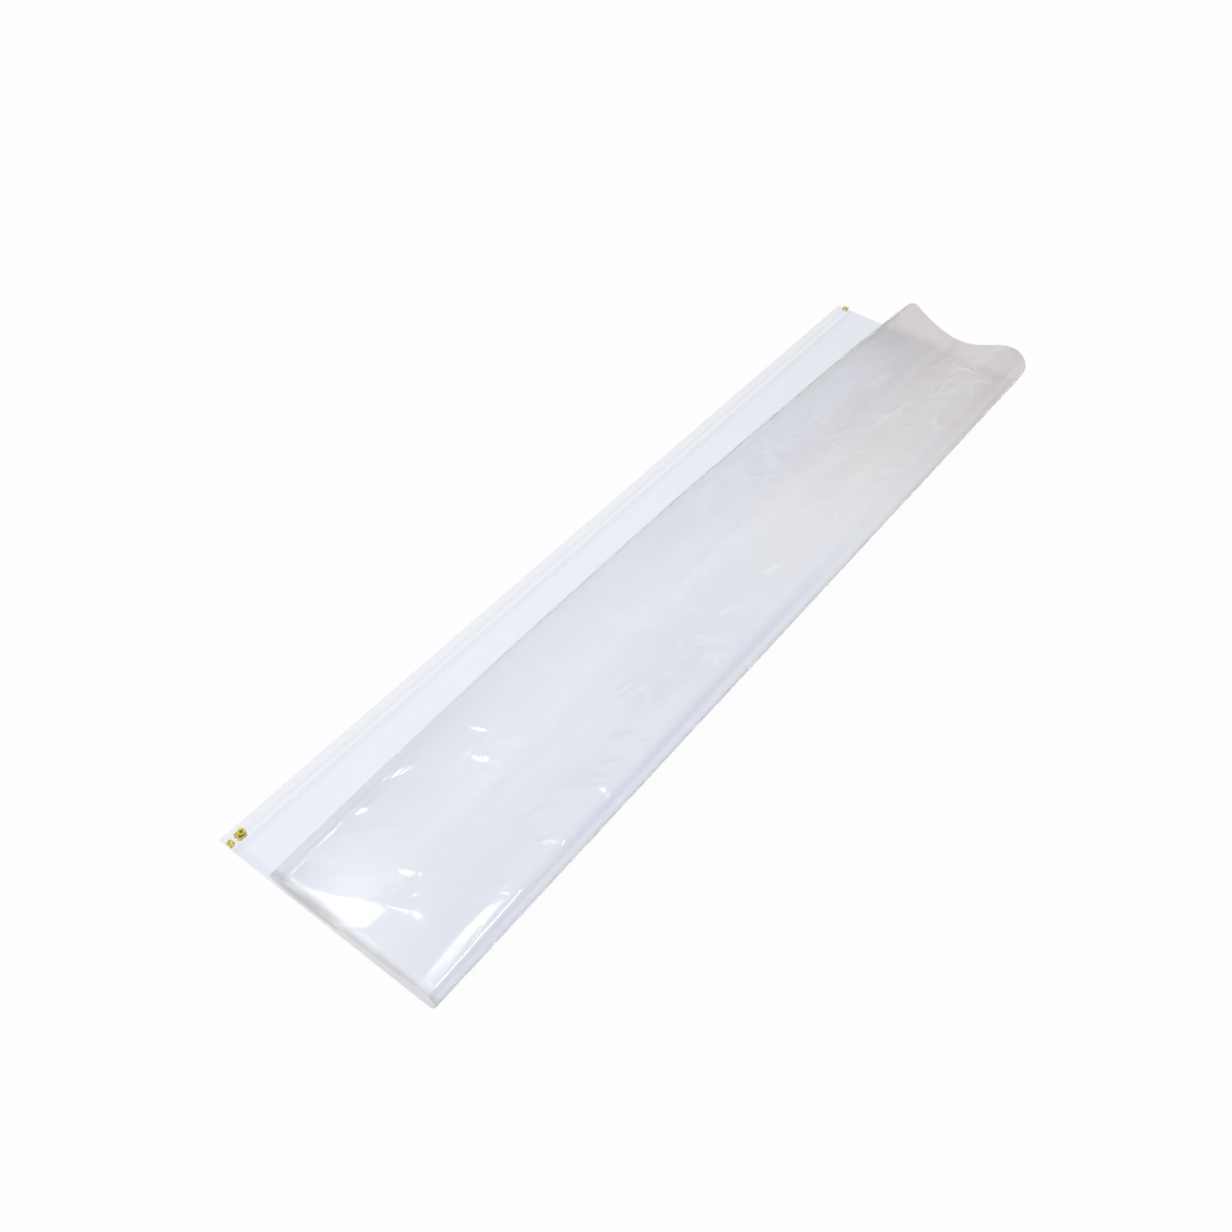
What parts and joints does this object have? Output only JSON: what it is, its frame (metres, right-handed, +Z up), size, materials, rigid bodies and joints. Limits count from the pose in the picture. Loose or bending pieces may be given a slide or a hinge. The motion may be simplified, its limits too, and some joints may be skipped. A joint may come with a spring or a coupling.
{
  "type": "plan storage sleeve",
  "caption": "Long clear vinyl sleeve for rolled or flat plans, closed by a slider zip along one edge and folded lengthwise into a flat roll.",
  "frame": {"origin": "bottom centre of the folded sleeve's box, on the surface that it lies on", "axes": "+X along the sleeve from the slider's end to the far end, +Y towards the zip edge, +Z up"},
  "size_m": [0.965, 0.248, 0.0459],
  "materials": {
    "clear_film": "clear, faintly blue, glossy soft vinyl film",
    "zip_track": "clear extruded vinyl zip track",
    "brass": "bright stamped brass"
  },
  "bodies": {
    "lower": {"back_panel_lower": "clear_film", "front_panel_lower": "clear_film", "zip_outer_track": "zip_track", "zip_inner_track": "zip_track", "near_end_stop": "brass", "far_end_stop": "brass"},
    "outer_fold": {"back_panel_outer_fold": "clear_film", "front_panel_outer_fold": "clear_film"},
    "upper": {"back_panel_upper": "clear_film", "front_panel_upper": "clear_film"},
    "inner_fold": {"back_panel_inner_fold": "clear_film", "front_panel_inner_fold": "clear_film"},
    "inner": {"back_panel_inner": "clear_film", "front_panel_inner": "clear_film"},
    "slider": {"slider_body": "brass", "slider_bail": "brass"},
    "pull": {"slider_pull": "brass"}
  },
  "joints": [
    {"name": "outer_fold_lower", "type": "hinge", "parent": "lower", "child": "outer_fold", "pos_m": [0, -0.11729, 0.00421], "axis": [1, 0.0085, 0.0033], "range_deg": [0, 86]},
    {"name": "outer_fold_upper", "type": "hinge", "parent": "outer_fold", "child": "upper", "pos_m": [0, -0.11729, 0.02599], "axis": [0.9998, 0.0085, 0.0195], "range_deg": [0, 86]},
    {"name": "inner_fold_upper", "type": "hinge", "parent": "upper", "child": "inner_fold", "pos_m": [0, 0.04144, 0.03114], "axis": [0.9996, -0.0162, 0.0248], "range_deg": [0, 86]},
    {"name": "inner_fold_lower", "type": "hinge", "parent": "inner_fold", "child": "inner", "pos_m": [0, 0.05153, 0.01181], "axis": [0.9999, -0.0147, 0.0055], "range_deg": [0, 86]},
    {"name": "slider_travel", "type": "slide", "parent": "lower", "child": "slider", "axis": [1, 0, 0], "range_m": [-0.0037, 0.9407]},
    {"name": "pull_swing", "type": "hinge", "parent": "slider", "child": "pull", "pos_m": [-0.4718, 0.112, 0.0061], "axis": [0, -1, 0], "range_deg": [0, 150]}
  ],
  "couplings": [
    {"joint": "outer_fold_upper", "follows": "outer_fold_lower", "ratio": 1},
    {"joint": "inner_fold_upper", "follows": "outer_fold_lower", "ratio": 1},
    {"joint": "inner_fold_lower", "follows": "outer_fold_lower", "ratio": 1}
  ]
}
